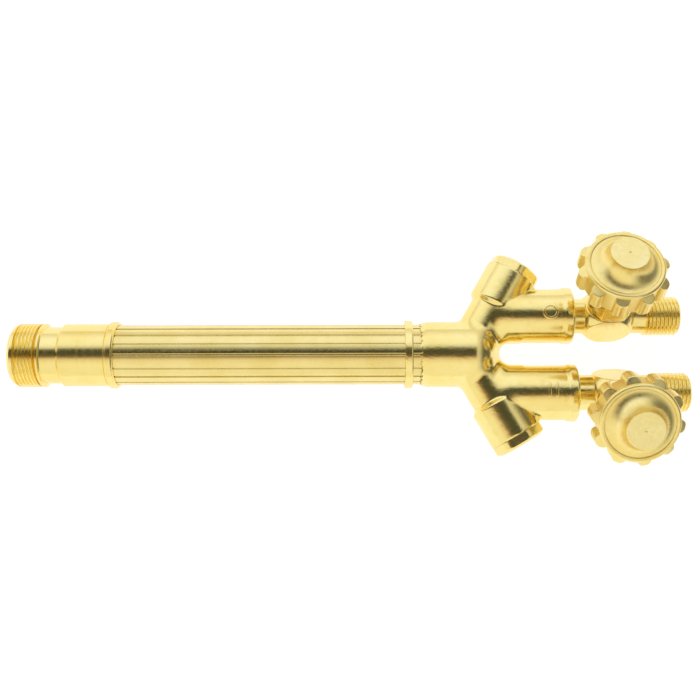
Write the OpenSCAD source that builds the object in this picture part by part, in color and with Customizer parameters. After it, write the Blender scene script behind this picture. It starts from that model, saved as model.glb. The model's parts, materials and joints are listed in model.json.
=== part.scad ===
// Oxy-fuel torch handle with built-in check valves and flame filters.
// Millimetres. X runs along the handle from its front face back to the hoses,
// +Y is the oxygen side and +Z is the side that the knobs stand on.
// The origin is the centre of the front face.

/* [Front head] */
// Outer diameter of the coupling thread
coupling_d = 23; // [22.9:0.1:23.3]
// Pitch of the coupling thread
coupling_pitch = 1.27; // [1.2:0.01:1.3]
// Full turns of the coupling thread
coupling_turns = 6; // [5:1:6]
// Diameter of the plain land in front of the thread
front_land_d = 21.8; // [21.2:0.1:22]
// Diameter of the neck behind the thread
neck_d = 20.5; // [20:0.1:21]
// Diameter of the plain sleeve
sleeve_d = 22.65; // [22.2:0.05:22.7]
// Diameter of the ring that the grip tube starts from
end_ring_d = 24.2; // [23.6:0.1:25]
// Length of the head that shows in front of the grip tube
head_len = 37.6; // [36:0.1:40]
// Diameter of the front socket
socket_d = 15; // [14:0.1:15.5]
// Depth of the front socket
socket_depth = 9; // [8:0.5:11]

/* [Grip tube] */
// Outer diameter of the grip tube
grip_d = 21.7; // [21.4:0.1:22]
// Wall of the grip tube
grip_wall = 1.6; // [1.4:0.1:1.8]
// Length of the grip tube that shows
grip_len = 103.3; // [80:0.1:130]
// Number of lengthwise grooves
groove_count = 18; // [12:1:18]
// Width of one groove
groove_w = 0.7; // [0.5:0.1:1]
// Depth of one groove
groove_depth = 0.4; // [0.2:0.1:0.6]
// Angle of the one wide land between two grooves
wide_land = 26; // [20:1:32]

/* [Yoke] */
// Diameter of the yoke's barrel
barrel_d = 23.85; // [23.6:0.05:24.2]
// Angle of each branch from the handle's axis
branch_angle = 60; // [58:1:62]
// Diameter of a branch under its boss
branch_d = 16.5; // [16:0.1:17]
// Diameter of a boss
boss_d = 19.6; // [19.4:0.1:20]
// Distance from the handle's axis to a boss's end face, along the branch
boss_end = 34; // [33.5:0.1:35]
// Diameter of an arm
arm_d = 19.9; // [19.4:0.1:20.2]
// Distance between the two arms' axes
arm_spacing = 28.2; // [28:0.1:28.6]
// Place of the oxygen arm's end face along the handle
arm_end = 201.95; // [201.5:0.05:202.5]
// Extra length of the fuel arm
fuel_arm_extra = 0.7; // [0:0.1:1.2]

/* [Valves] */
// Outward tilt of the oxygen knob's axis
oxygen_tilt = 21; // [18:0.5:25]
// Outward tilt of the fuel knob's axis
fuel_tilt = 24; // [18:0.5:25]
// Place of the oxygen valve's stem axis along the handle
valve_station = 215.2; // [214.9:0.1:215.6]
// How much farther out the fuel valve's stem axis is
fuel_reach = 2.2; // [1.8:0.1:2.4]
// Width across the flats of a valve body
body_af = 13.8; // [13.6:0.1:14]
// Diameter of the round stubs before and behind a valve body
stub_d = 12.7; // [12.4:0.1:12.8]
// Outer diameter of a hose thread
hose_d = 14.29; // [14.2:0.01:14.3]
// Pitch of a hose thread
hose_pitch = 1.411; // [1.4:0.001:1.42]
// Width across the flats of a packing nut
nut_af = 14.3; // [14.2:0.1:15]
// Diameter of the ball that closes a valve
ball_d = 4.76; // [4.7:0.01:4.8]

/* [Knobs] */
// Diameter of a knob over its lugs
knob_d = 32; // [31:0.1:33]
// Diameter over the bead round a knob's rim
rim_d = 27.4; // [27.2:0.1:27.6]
// Number of lugs
lug_count = 10; // [8:1:12]
// Width of a lug
lug_w = 4.9; // [4.5:0.1:5]
// Height of the bead's middle above the valve's axis
rim_h = 33; // [32.5:0.1:33.5]
// Height of the button's end above the valve's axis
button_h = 40.4; // [40:0.1:41]
// Diameter of the button
button_d = 13; // [12.6:0.1:13.2]

/* [Hidden] */
$fn = 96;
OXYGEN = 1;
FUEL = -1;
OVER = 1;                        // a cut runs this far past a face
RUN = 0.05;                      // radial running clearance
SEAT = 0.02;                     // radial clearance of a pressed or screwed joint

// stations along the handle
thread_start = 2.3;
thread_end = thread_start + coupling_turns * coupling_pitch;
runout_end = thread_end + 1.4;
shoulder_x = 17.4;
groove_x = head_len - 3.3;
ring_x = head_len - 2.7;
barrel_x = head_len + grip_len;
cross_x = barrel_x + 23;
nose_x = cross_x + 9.5;
spigot_end = head_len + 7.5;
coupling_ridge = 0.72;           // depth of a coupling ridge
coupling_crest = 0.28;           // width of its crest
groove_cut = 0.35;               // depth of the groove in front of the end ring
lip_depth = 1;
grip_front = head_len - lip_depth;
grip_socket = 11.1;
grip_rear = barrel_x + grip_socket - 0.1;
tube_socket = barrel_x + grip_socket + 6;

// inner gas tubes
gas_tube_y = 4.5;
gas_tube_r = 3.175;
gas_tube_bore = 2.1;
gas_tube_front = 29;
cone_bore_r = 4.5;
cone_bore_end = socket_depth + 10;
oxygen_port_r = 1.2;
oxygen_port_y = 3.1;
fuel_port_r = 1;
fuel_port_y = -6;
passage_r = 1.6;

// arms
arm_y = arm_spacing / 2;
arm_r = arm_d / 2;
arm_bead_r = arm_r + 0.5;
barrel_bead_r = barrel_d / 2 + 0.43;
web_h = 13;
arm_start = cross_x + arm_y / tan(branch_angle) - 2;
arm_socket = 11.5;
arm_bore_r = 2.5;
slot_r = arm_y - arm_r;
slot_x = 175.6 + slot_r;
mark_x = 193.2;
mark_height = 0.35;
mark_outer_r = 2.9;
mark_inner_r = 1.9;
bar_len = 5.4;
bar_w = 1;
bar_offset = 1.3;

// a boss and its bores, measured along the branch
boss_start = 19;
boss_shoulder = 1.5;
cap_bore_r = 7;
cap_bore_start = 26.6;
filter_bore_r = 5.55;
filter_bore_start = 12.5;
poppet_bore_r = 4;
poppet_bore_start = 5.5;
seat_h = 2.5;
seat_bore = 2;
cap_head = 3.8;
cap_af = 17.5;
cap_corner_r = 9.55;
OXYGEN_CAP_TURN = 9.4;           // where each hexagon stopped when it was screwed home
FUEL_CAP_TURN = -20;
filter_r = 4.4;
filter_bore = 3;
seal_l = 29;
seal_r = 0.72;

// check valve
poppet_h = 2.4;
notch_r = 1.2;
poppet_rest = filter_bore_start - 0.05;
spring_top = poppet_rest - poppet_h - 0.05;
spring_r = 2.9;
wire_r = 0.25;
spring_turns = 5;

// valve stem stack, measured along the stem from the valve's axis
floor_h = -1.2;
orifice_r = 1.5;
ball_r = ball_d / 2;
ball_h = floor_h + sqrt(ball_r * ball_r - orifice_r * orifice_r) + 0.03;
pocket_h = -4.8;
slant_angle = 26.57;
slant_r = 1.2;
slant_len = 10.3;
outlet_h = 0.8;
outlet_r = 1.9;
outlet_end = -6;
inlet_r = 2.6;
inlet_end = 9.4;
nipple_r = 5.2;
stem_bore_r = 4.05;
stem_r = 3.15;
stem_thread = [ball_h + 2.7, ball_h + 6.3];
stem_nose_r = 2.95;
packing_floor = 9.2;
packing_r = 4.8;
packing_top = 12.3;
bonnet_r = 5.7;
bonnet_top = 13.4;
washer_top = 13.9;
nut_base = 7.35;
nut_top = 18.6;
nut_corner_r = 8.3;
knob_base = 23.5;
bead_r = 0.9;
crease_r = 12;                   // the crease between a knob's bead and its cove
lug_start = knob_base + 0.5;
lug_top = rim_h - 1.1;
OXYGEN_KNOB_TURN = 7.5;          // where each knob stands when its valve is closed
FUEL_KNOB_TURN = -7.1;
hub_r = 6.3;
core_r = 10.9;                   // a knob is cored out between its hub and this radius
core_top = knob_base + 6.5;
insert_base = 26;
insert_r = 4;
insert_bore_r = 2.6;
insert_bore_top = 35;
button_base = button_h - 0.6;
body_front = 8.9;                // lengths before and behind the stem axis
body_back = 8.6;
body_corner_r = 10;
neck_back = 13.6;
hose_back = 25.9;
hose_turns = 8;
hose_ridge = 0.8;
hose_crest = 0.3;

BRASS = [0.86, 0.72, 0.36];
FORGED = [0.83, 0.68, 0.33];
STEEL = [0.75, 0.76, 0.78];
SINTER = [0.62, 0.6, 0.56];
RUBBER = [0.12, 0.12, 0.12];
PTFE = [0.93, 0.93, 0.9];
COPPER = [0.78, 0.48, 0.3];

// ---- shared shapes ----

function valve_x(side) = valve_station + (side == FUEL ? fuel_reach : 0);
function arm_end_x(side) = arm_end + (side == FUEL ? fuel_arm_extra : 0);
function knob_tilt(side) = side == FUEL ? fuel_tilt : oxygen_tilt;
function knob_turn(side) = side == FUEL ? FUEL_KNOB_TURN : OXYGEN_KNOB_TURN;
function cap_turn(side) = side == FUEL ? FUEL_CAP_TURN : OXYGEN_CAP_TURN;

// Outline points [radius, station] of thread ridges that start at station `from`.
function ridges(from, pitch, turns, crest_r, depth, land) = [
    for (i = [0 : turns - 1], p = [
            [crest_r - depth, from + i * pitch],
            [crest_r, from + (i + 0.5) * pitch - land / 2],
            [crest_r, from + (i + 0.5) * pitch + land / 2]]) p];

// Quarter of an ellipse from [r, h] at a level start to a steep end.
function cove(r, h, across, up, steps = 14) = [
    for (i = [0 : steps]) [r - across * sin(90 * i / steps), h + up * (1 - cos(90 * i / steps))]];

// Arc of points [radius, station] that bulges from end_r at both ends to apex_r in the middle.
function bulge(end_r, apex_r, from, to, steps = 16) =
    let (half = (to - from) / 2, rise = apex_r - end_r,
         arc_r = (half * half + rise * rise) / (2 * rise))
        [for (i = [0 : steps]) let (x = half * (2 * i / steps - 1))
            [apex_r - arc_r + sqrt(arc_r * arc_r - x * x), from + half + x]];

// Arc of points [radius, height] about a centre, from one angle to another.
function arc(centre_r, centre_h, radius, start, end, steps = 14) = [
    for (i = [0 : steps]) let (turn = start + (end - start) * i / steps)
        [centre_r + radius * cos(turn), centre_h + radius * sin(turn)]];

// A turned solid about the handle's axis from points [radius, station].
module turned(points) {
    rotate([0, 90, 0]) rotate_extrude() polygon(points);
}

// A bore or rod along +X between two stations.
module rod_x(r, from, to, y = 0) {
    translate([from, y, 0]) rotate([0, 90, 0]) cylinder(r = r, h = to - from);
}

// A ring about local Z between two heights.
module ring_z(outer_r, inner_r, from, to) {
    difference() {
        translate([0, 0, from]) cylinder(r = outer_r, h = to - from);
        translate([0, 0, from - OVER]) cylinder(r = inner_r, h = to - from + 2 * OVER);
    }
}

// A bore about local Z between two heights.
module rod_z(r, from, to) {
    translate([0, 0, from]) cylinder(r = r, h = to - from);
}

// A hexagonal bar about local Z with its corners turned off at one or both ends.
module turned_hex(across_flats, corner_r, from, to, top_cut, base_cut = 0) {
    flat_r = across_flats / 2;
    intersection() {
        translate([0, 0, from]) cylinder(r = flat_r / cos(30), h = to - from, $fn = 6);
        rotate_extrude() polygon([[0, from], [flat_r - 0.4, from], [corner_r, from + base_cut],
            [corner_r, to - top_cut], [flat_r - 0.9, to], [0, to]]);
    }
}

// Local +Z runs out along a branch from the handle's axis.
module on_branch(side) {
    translate([cross_x, 0, 0]) rotate([0, 0, side * branch_angle]) rotate([0, 90, 0]) children();
}

// Local +Z is a knob's axis, local X the handle's, and the origin is on the valve's axis.
module on_valve(side) {
    translate([valve_x(side), side * arm_y, 0]) rotate([-side * knob_tilt(side), 0, 0]) children();
}

// ---- handle ----

module front_head() {
    land_r = front_land_d / 2;
    crest_r = coupling_d / 2;
    sleeve_r = sleeve_d / 2;
    ring_r = end_ring_d / 2;
    grip_bore = grip_d / 2 - grip_wall;
    color(BRASS) difference() {
        turned(concat(
            [[0, 0], [land_r - 0.9, 0], [land_r, 1.1], [land_r, thread_start - 0.3]],
            ridges(thread_start, coupling_pitch, coupling_turns, crest_r, coupling_ridge, coupling_crest),
            [[crest_r - coupling_ridge, thread_end], [crest_r, thread_end + 0.45],
             [crest_r, runout_end - 0.3], [crest_r - 0.4, runout_end],
             [neck_d / 2, runout_end], [neck_d / 2, shoulder_x],
             [sleeve_r, shoulder_x + 0.9], [sleeve_r, groove_x],
             [sleeve_r - groove_cut, groove_x + 0.1], [sleeve_r - groove_cut, ring_x],
             [ring_r - 0.25, ring_x], [ring_r, ring_x + 0.25],
             [ring_r, head_len - 0.5], [ring_r - 0.5, head_len], [grip_d / 2 + SEAT, head_len],
             [grip_d / 2 + SEAT, grip_front], [grip_bore - SEAT, grip_front],
             [grip_bore - SEAT, spigot_end], [0, spigot_end]]));
        rod_x(socket_d / 2, -OVER, socket_depth);
        rod_x(cone_bore_r, socket_depth - OVER, cone_bore_end);
        for (side = [OXYGEN, FUEL])
            rod_x(gas_tube_r + SEAT, gas_tube_front, spigot_end + OVER, side * gas_tube_y);
        // oxygen comes out in the middle, and fuel through the step round it
        rod_x(oxygen_port_r, cone_bore_end - OVER, gas_tube_front + OVER, oxygen_port_y);
        rod_x(fuel_port_r, socket_depth - OVER, gas_tube_front + OVER, fuel_port_y);
    }
}

module grip_tube() {
    // even steps between the grooves, but for one wide land that faces past the knobs
    step = (360 - wide_land) / (groove_count - 1);
    land_centre = -21;
    color(BRASS) difference() {
        rod_x(grip_d / 2, grip_front + SEAT, grip_rear);
        rod_x(grip_d / 2 - grip_wall, grip_front - OVER, grip_rear + OVER);
        for (i = [0 : groove_count - 1])
            rotate([-(land_centre - wide_land / 2 - i * step), 0, 0])
                translate([grip_front - OVER, -groove_w / 2, grip_d / 2 - groove_depth])
                    cube([grip_rear - grip_front + 2 * OVER, groove_w, groove_depth + OVER]);
    }
}

module gas_tube(side) {
    color(COPPER) difference() {
        rod_x(gas_tube_r, gas_tube_front + SEAT, tube_socket - SEAT, side * gas_tube_y);
        rod_x(gas_tube_bore, gas_tube_front - OVER, tube_socket + OVER, side * gas_tube_y);
    }
}

module barrel() {
    turned([[0, barrel_x], [barrel_bead_r - 0.4, barrel_x], [barrel_bead_r, barrel_x + 0.4],
        [barrel_bead_r, barrel_x + 2.4], [barrel_d / 2, barrel_x + 3.2], [barrel_d / 2, nose_x - 6.5],
        [barrel_d / 2 - 2, nose_x - 2.5], [barrel_d / 2 - 6, nose_x], [0, nose_x]]);
}

module branch(side) {
    on_branch(side) rotate_extrude() polygon([[0, 0], [branch_d / 2, 0], [branch_d / 2, boss_start],
        [boss_d / 2, boss_start + boss_shoulder], [boss_d / 2, boss_end - 0.2],
        [boss_d / 2 - 0.2, boss_end], [0, boss_end]]);
}

module arm(side) {
    last = arm_end_x(side);
    translate([0, side * arm_y, 0]) turned([[0, arm_start], [arm_r - 4, arm_start],
        [arm_r - 1.2, arm_start + 2.8], [arm_r, arm_start + 6], [arm_r, last - 3.5],
        [arm_bead_r, last - 3.1], [arm_bead_r, last - 0.9], [arm_bead_r - 0.9, last], [0, last]]);
}

// The web that joins the two arms and rounds off the slot between them.
module web() {
    linear_extrude(height = web_h, center = true) difference() {
        translate([cross_x, -arm_y / 2]) square([slot_x - cross_x, arm_y]);
        translate([slot_x, 0]) circle(r = slot_r);
    }
}

// A raised plain ring tells the oxygen arm by touch, and two plain bars the fuel arm.
module arm_mark(side) {
    intersection() {
        rod_x(arm_r + mark_height, mark_x - bar_len, mark_x + bar_len, side * arm_y);
        translate([mark_x, side * arm_y, 0])
            if (side == OXYGEN)
                ring_z(mark_outer_r, mark_inner_r, arm_r / 2, arm_d);
            else
                for (x = [-bar_offset, bar_offset])
                    translate([x - bar_w / 2, -bar_len / 2, arm_r / 2]) cube([bar_w, bar_len, arm_d]);
    }
}

module yoke_body() {
    color(FORGED) difference() {
        union() {
            barrel();
            web();
            for (side = [OXYGEN, FUEL]) {
                branch(side);
                arm(side);
                arm_mark(side);
            }
        }
        rod_x(grip_d / 2 + SEAT, barrel_x - OVER, barrel_x + grip_socket);
        for (side = [OXYGEN, FUEL]) {
            rod_x(gas_tube_r + SEAT, barrel_x, tube_socket, side * gas_tube_y);
            rod_x(passage_r, barrel_x, cross_x + 3, side * gas_tube_y);
            on_branch(side) {
                rod_z(poppet_bore_r, poppet_bore_start, boss_end);
                rod_z(filter_bore_r, filter_bore_start, boss_end);
                rod_z(cap_bore_r, cap_bore_start, boss_end + OVER);
            }
            rod_x(arm_bore_r, arm_start + 3, arm_end_x(side), side * arm_y);
            rod_x(stub_d / 2 + SEAT, arm_end_x(side) - arm_socket, arm_end_x(side) + OVER, side * arm_y);
        }
    }
}

// ---- check valve and flame filter in each branch ----

module arrestor_cap(side) {
    shank_r = cap_bore_r - SEAT;
    color(BRASS) on_branch(side) difference() {
        union() {
            rotate([0, 0, cap_turn(side)])
                turned_hex(cap_af, cap_corner_r, boss_end + 0.05, boss_end + cap_head, 0.9);
            rod_z(shank_r, cap_bore_start + 0.1, boss_end + OVER);
        }
        // groove for the seal
        difference() {
            rod_z(shank_r + OVER, seal_l - seal_r, seal_l + seal_r);
            rod_z(shank_r - 2 * seal_r, seal_l - 2 * seal_r, seal_l + 2 * seal_r);
        }
        rod_z(filter_bore, cap_bore_start - OVER, cap_bore_start + 4);
    }
}

module cap_seal(side) {
    color(RUBBER) on_branch(side) translate([0, 0, seal_l])
        rotate_extrude() translate([cap_bore_r - SEAT - seal_r, 0]) circle(r = seal_r - 0.03, $fn = 32);
}

module flame_filter(side) {
    color(SINTER) on_branch(side)
        ring_z(filter_r, filter_bore, filter_bore_start + seat_h + 0.03, cap_bore_start + 0.05);
}

module filter_seat(side) {
    color(BRASS) on_branch(side)
        ring_z(filter_bore_r - SEAT, seat_bore, filter_bore_start + 0.02, filter_bore_start + seat_h);
}

// A disc with three notches that let the gas pass once it has left its seat.
module check_poppet(side) {
    color(BRASS) on_branch(side) difference() {
        rod_z(poppet_bore_r - RUN, poppet_rest - poppet_h, poppet_rest);
        for (turn = [0, 120, 240])
            rotate([0, 0, turn]) translate([poppet_bore_r, 0, poppet_rest - poppet_h - OVER])
                cylinder(r = notch_r, h = poppet_h + 2 * OVER);
    }
}

// The wire's own points: one ring of eight corners for each eighth of a turn.
module check_spring(side) {
    sides = 8;
    steps = spring_turns * 12;
    base = poppet_bore_start + wire_r + 0.05;
    rise = (spring_top - wire_r - base) / steps;
    points = [for (i = [0 : steps], j = [0 : sides - 1])
        let (turn = 30 * i, r = spring_r + wire_r * cos(45 * j))
            [r * cos(turn), r * sin(turn), base + rise * i + wire_r * sin(45 * j)]];
    walls = [for (i = [0 : steps - 1], j = [0 : sides - 1])
        let (next = (j + 1) % sides, at = i * sides)
            [at + j, at + next, at + sides + next, at + sides + j]];
    start = [for (j = [sides - 1 : -1 : 0]) j];
    finish = [for (j = [0 : sides - 1]) steps * sides + j];
    color(STEEL) on_branch(side) polyhedron(points, concat(walls, [start, finish]));
}

// ---- valves ----

// Square bar with its corners turned to an arc, a bonnet for the stem and a stub at each end.
module valve_body(side) {
    flat_r = body_af / 2;
    stub_r = stub_d / 2;
    front = arm_end_x(side) - arm_socket + 0.1 - valve_x(side);
    hose_r = hose_d / 2;
    hose_start = hose_back - 1.2 - hose_turns * hose_pitch;
    core_r = hose_r - hose_ridge;
    color(BRASS) on_valve(side) difference() {
        union() {
            intersection() {
                translate([-body_front, -flat_r, -flat_r])
                    cube([body_front + body_back, body_af, body_af]);
                turned(concat([[0, -body_front]],
                    bulge(stub_r - RUN, body_corner_r, -body_front, body_back), [[0, body_back]]));
            }
            rod_x(stub_r, front, neck_back);
            rod_z(bonnet_r, 0, bonnet_top);
            turned(concat([[0, neck_back - OVER], [stub_r, neck_back - OVER], [stub_r, hose_start]],
                ridges(hose_start, hose_pitch, hose_turns, hose_r, hose_ridge, hose_crest),
                [[core_r, hose_start + hose_turns * hose_pitch], [core_r - 0.1, hose_back - 0.7],
                 [core_r - 0.7, hose_back], [0, hose_back]]));
        }
        // outlet to the arm, from above the seat
        rod_x(arm_bore_r, front - OVER, outlet_end);
        translate([0, 0, outlet_h]) rod_x(outlet_r, outlet_end - OVER, 0);
        // inlet from the hose, through a slanted hole to the pocket under the seat
        rod_x(inlet_r, inlet_end, hose_back + OVER);
        turned([[0, hose_back + OVER], [nipple_r, hose_back + OVER], [nipple_r, hose_back],
            [inlet_r, hose_back - nipple_r + inlet_r], [0, hose_back - nipple_r + inlet_r]]);
        translate([inlet_end + 0.6, 0, 0]) rotate([0, -90 - slant_angle, 0])
            cylinder(r = slant_r, h = slant_len);
        rod_z(orifice_r, pocket_h, floor_h + OVER);
        // stem and packing
        rod_z(stem_bore_r, floor_h, packing_floor + OVER);
        rod_z(packing_r, packing_floor, bonnet_top + OVER);
    }
}

module seat_ball(side) {
    color(STEEL) on_valve(side) translate([0, 0, ball_h]) sphere(r = ball_r);
}

module valve_stem(side) {
    nose = ball_h - 0.45;
    thread_r = stem_bore_r - 0.07;
    color(STEEL) on_valve(side) difference() {
        rotate_extrude() polygon([[0, nose], [stem_nose_r, nose], [stem_nose_r, stem_thread[0] - 0.3],
            [thread_r, stem_thread[0]], [thread_r, stem_thread[1]],
            [stem_r, stem_thread[1] + 0.4], [stem_r, insert_base - 0.1],
            [insert_bore_r - SEAT, insert_base - 0.1], [insert_bore_r - SEAT, insert_bore_top - 1],
            [insert_bore_r - 0.5, insert_bore_top - 0.5], [0, insert_bore_top - 0.5]]);
        translate([0, 0, ball_h]) sphere(r = ball_r + RUN);
    }
}

module packing_ring(side) {
    color(PTFE) on_valve(side)
        ring_z(packing_r - SEAT, stem_r + RUN, packing_floor + 0.05, packing_top);
}

module gland_washer(side) {
    color(BRASS) on_valve(side)
        ring_z(packing_r - RUN, stem_r + RUN, packing_top + 0.02, washer_top - 0.02);
}

module packing_nut(side) {
    color(BRASS) on_valve(side) difference() {
        turned_hex(nut_af, nut_corner_r, nut_base, nut_top, 1, 1.2);
        rod_z(bonnet_r + SEAT, nut_base - OVER, washer_top);
        rod_z(stem_r + RUN, washer_top - OVER, nut_top + OVER);
    }
}

// ---- knobs ----

// The bell with a bead round its rim and a concave top, cored out from below.
module knob_bell() {
    skirt_r = rim_d / 2 - 0.2;
    centre_r = rim_d / 2 - bead_r;
    bead_start = -acos((skirt_r - centre_r) / bead_r);
    cove_r = crease_r - 0.2;
    button_r = button_d / 2;
    rotate_extrude() polygon(concat(
        [[insert_r, knob_base], [hub_r, knob_base], [hub_r, core_top], [core_r, core_top],
         [core_r + 0.3, knob_base], [skirt_r - 0.5, knob_base], [skirt_r, knob_base + 0.8]],
        arc(centre_r, rim_h, bead_r, bead_start, 150),
        [[crease_r - 0.05, rim_h + 0.15]],
        cove(cove_r, rim_h + 0.3, cove_r - button_r - 0.1, button_base - rim_h - 0.5),
        [[button_r, button_base], [insert_r, button_base]]));
}

module knob_lugs() {
    tip_r = knob_d / 2;
    root_r = rim_d / 2 - 1.5;
    round_r = lug_w / 2;
    lug_h = rim_h - lug_start;
    intersection() {
        for (i = [0 : lug_count - 1])
            rotate([0, 0, i * 360 / lug_count]) translate([0, 0, lug_start]) {
                translate([tip_r - round_r, 0, 0]) cylinder(r = round_r, h = lug_h);
                translate([root_r, -round_r, 0]) cube([tip_r - round_r - root_r, lug_w, lug_h]);
            }
        rotate_extrude() polygon([[root_r, lug_start], [tip_r - 0.8, lug_start],
            [tip_r, lug_start + 1], [tip_r, lug_top - 0.8], [tip_r - 0.25, lug_top - 0.25],
            [tip_r - 0.8, lug_top], [root_r, lug_top]]);
    }
}

module control_knob(side) {
    color(BRASS) on_valve(side) difference() {
        union() {
            knob_bell();
            rotate([0, 0, knob_turn(side)]) knob_lugs();
            ring_z(insert_r + 1, stem_r + RUN, knob_base, insert_base);
        }
        rod_z(insert_r + SEAT, insert_base, button_base + OVER);
    }
}

module knob_insert(side) {
    button_r = button_d / 2;
    color(BRASS) on_valve(side) difference() {
        rotate_extrude() polygon([[0, insert_base + 0.05], [insert_r, insert_base + 0.05],
            [insert_r, button_base + 0.05], [button_r, button_base + 0.05],
            [button_r, button_h - 0.2], [button_r - 0.2, button_h], [0, button_h]]);
        rod_z(insert_bore_r, insert_base - OVER, insert_bore_top);
    }
}

front_head();
grip_tube();
gas_tube(OXYGEN);  // oxygen_tube
gas_tube(FUEL);  // fuel_tube
yoke_body();
arrestor_cap(OXYGEN);  // oxygen_arrestor_cap
cap_seal(OXYGEN);  // oxygen_cap_seal
flame_filter(OXYGEN);  // oxygen_flame_filter
filter_seat(OXYGEN);  // oxygen_filter_seat
check_poppet(OXYGEN);  // oxygen_check_poppet
check_spring(OXYGEN);  // oxygen_check_spring
valve_body(OXYGEN);  // oxygen_valve_body
seat_ball(OXYGEN);  // oxygen_seat_ball
valve_stem(OXYGEN);  // oxygen_valve_stem
packing_ring(OXYGEN);  // oxygen_packing_ring
gland_washer(OXYGEN);  // oxygen_gland_washer
packing_nut(OXYGEN);  // oxygen_packing_nut
control_knob(OXYGEN);  // oxygen_control_knob
knob_insert(OXYGEN);  // oxygen_knob_insert
arrestor_cap(FUEL);  // fuel_arrestor_cap
cap_seal(FUEL);  // fuel_cap_seal
flame_filter(FUEL);  // fuel_flame_filter
filter_seat(FUEL);  // fuel_filter_seat
check_poppet(FUEL);  // fuel_check_poppet
check_spring(FUEL);  // fuel_check_spring
valve_body(FUEL);  // fuel_valve_body
seat_ball(FUEL);  // fuel_seat_ball
valve_stem(FUEL);  // fuel_valve_stem
packing_ring(FUEL);  // fuel_packing_ring
gland_washer(FUEL);  // fuel_gland_washer
packing_nut(FUEL);  // fuel_packing_nut
control_knob(FUEL);  // fuel_control_knob
knob_insert(FUEL);  // fuel_knob_insert
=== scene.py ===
import json
import math

import bmesh
import bpy
import numpy as np
from mathutils import Matrix, Vector


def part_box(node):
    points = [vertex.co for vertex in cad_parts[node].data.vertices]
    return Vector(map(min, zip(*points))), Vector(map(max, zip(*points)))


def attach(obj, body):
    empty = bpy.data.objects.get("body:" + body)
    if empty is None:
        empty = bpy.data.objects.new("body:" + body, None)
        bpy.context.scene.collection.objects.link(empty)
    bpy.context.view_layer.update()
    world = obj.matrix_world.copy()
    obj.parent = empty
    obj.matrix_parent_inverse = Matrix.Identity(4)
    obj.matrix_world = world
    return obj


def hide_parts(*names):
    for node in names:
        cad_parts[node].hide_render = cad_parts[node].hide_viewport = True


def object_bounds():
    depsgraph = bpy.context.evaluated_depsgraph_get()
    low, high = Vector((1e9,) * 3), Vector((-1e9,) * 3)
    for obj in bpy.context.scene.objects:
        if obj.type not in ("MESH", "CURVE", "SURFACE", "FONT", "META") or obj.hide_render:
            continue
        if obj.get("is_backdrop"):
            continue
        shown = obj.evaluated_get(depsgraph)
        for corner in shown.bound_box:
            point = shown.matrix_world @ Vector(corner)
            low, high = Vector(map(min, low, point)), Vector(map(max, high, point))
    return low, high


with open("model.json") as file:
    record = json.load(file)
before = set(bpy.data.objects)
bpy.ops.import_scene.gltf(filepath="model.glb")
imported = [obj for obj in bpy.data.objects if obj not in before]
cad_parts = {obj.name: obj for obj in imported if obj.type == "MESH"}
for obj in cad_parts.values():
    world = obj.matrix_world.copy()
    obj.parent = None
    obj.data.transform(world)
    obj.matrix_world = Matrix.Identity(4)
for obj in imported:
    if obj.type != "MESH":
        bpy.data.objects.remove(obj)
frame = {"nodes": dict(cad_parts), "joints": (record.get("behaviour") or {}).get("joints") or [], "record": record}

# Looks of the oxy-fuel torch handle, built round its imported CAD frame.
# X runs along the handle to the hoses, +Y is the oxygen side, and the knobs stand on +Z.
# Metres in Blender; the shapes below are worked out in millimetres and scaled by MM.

MM = 0.001
CAD_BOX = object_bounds()
SIDES = {"oxygen": 1, "fuel": -1}


# ---- the frame's own places and sizes, in millimetres ----

def node_box(node):
    low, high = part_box(node)
    return np.array(low) / MM, np.array(high) / MM


def joint(name):
    return next(j for j in frame["joints"] if j["name"] == name)


def mount(name):
    return next(m for m in frame["record"]["mounts"] if m["name"] == name)


class Axes:
    """A local frame: `along` is the turning axis, and points are given by distance and radius."""

    def __init__(self, origin, along, across):
        self.origin = np.array(origin, float)
        self.along = np.array(along, float) / np.linalg.norm(along)
        side = np.array(across, float)
        side = side - self.along * side.dot(self.along)
        self.u = side / np.linalg.norm(side)
        self.v = np.cross(self.along, self.u)

    def points(self, t, r, theta):
        t, r, theta = np.broadcast_arrays(t, r, theta)
        return (self.origin + t[..., None] * self.along
                + (r * np.cos(theta))[..., None] * self.u + (r * np.sin(theta))[..., None] * self.v)

    def local(self, p):
        """Distance along the axis, and distance from it, of points in millimetres."""
        rel = p - self.origin
        t = rel @ self.along
        return t, np.linalg.norm(rel - t[..., None] * self.along, axis=-1)


HANDLE = Axes((0, 0, 0), (1, 0, 0), (0, 0, 1))
BARREL_X = float(node_box("yoke_body")[0][0])
CROSS_X = BARREL_X + 23.0
BRANCH = {s: Axes((CROSS_X, 0, 0), -np.array(joint(f"{s}_check_valve")["axis"]), (0, 0, 1)) for s in SIDES}
KNOB_TURN = {s: joint(f"{s}_knob_turn") for s in SIDES}
VALVE_CENTRE = {s: np.array(KNOB_TURN[s]["pos_m"]) / MM for s in SIDES}
ARM_Y = abs(float(VALVE_CENTRE["oxygen"][1]))
STEM = {s: Axes(VALVE_CENTRE[s], KNOB_TURN[s]["axis"], (1, 0, 0)) for s in SIDES}
VALVE = {s: Axes(VALVE_CENTRE[s], (1, 0, 0), KNOB_TURN[s]["axis"]) for s in SIDES}
ARM_END = {"oxygen": 201.95, "fuel": 202.65}
ARM_R = 9.95
TUBE_Y, TUBE_BORE_R = 4.5, 3.195


# ---- mesh code ----

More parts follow.
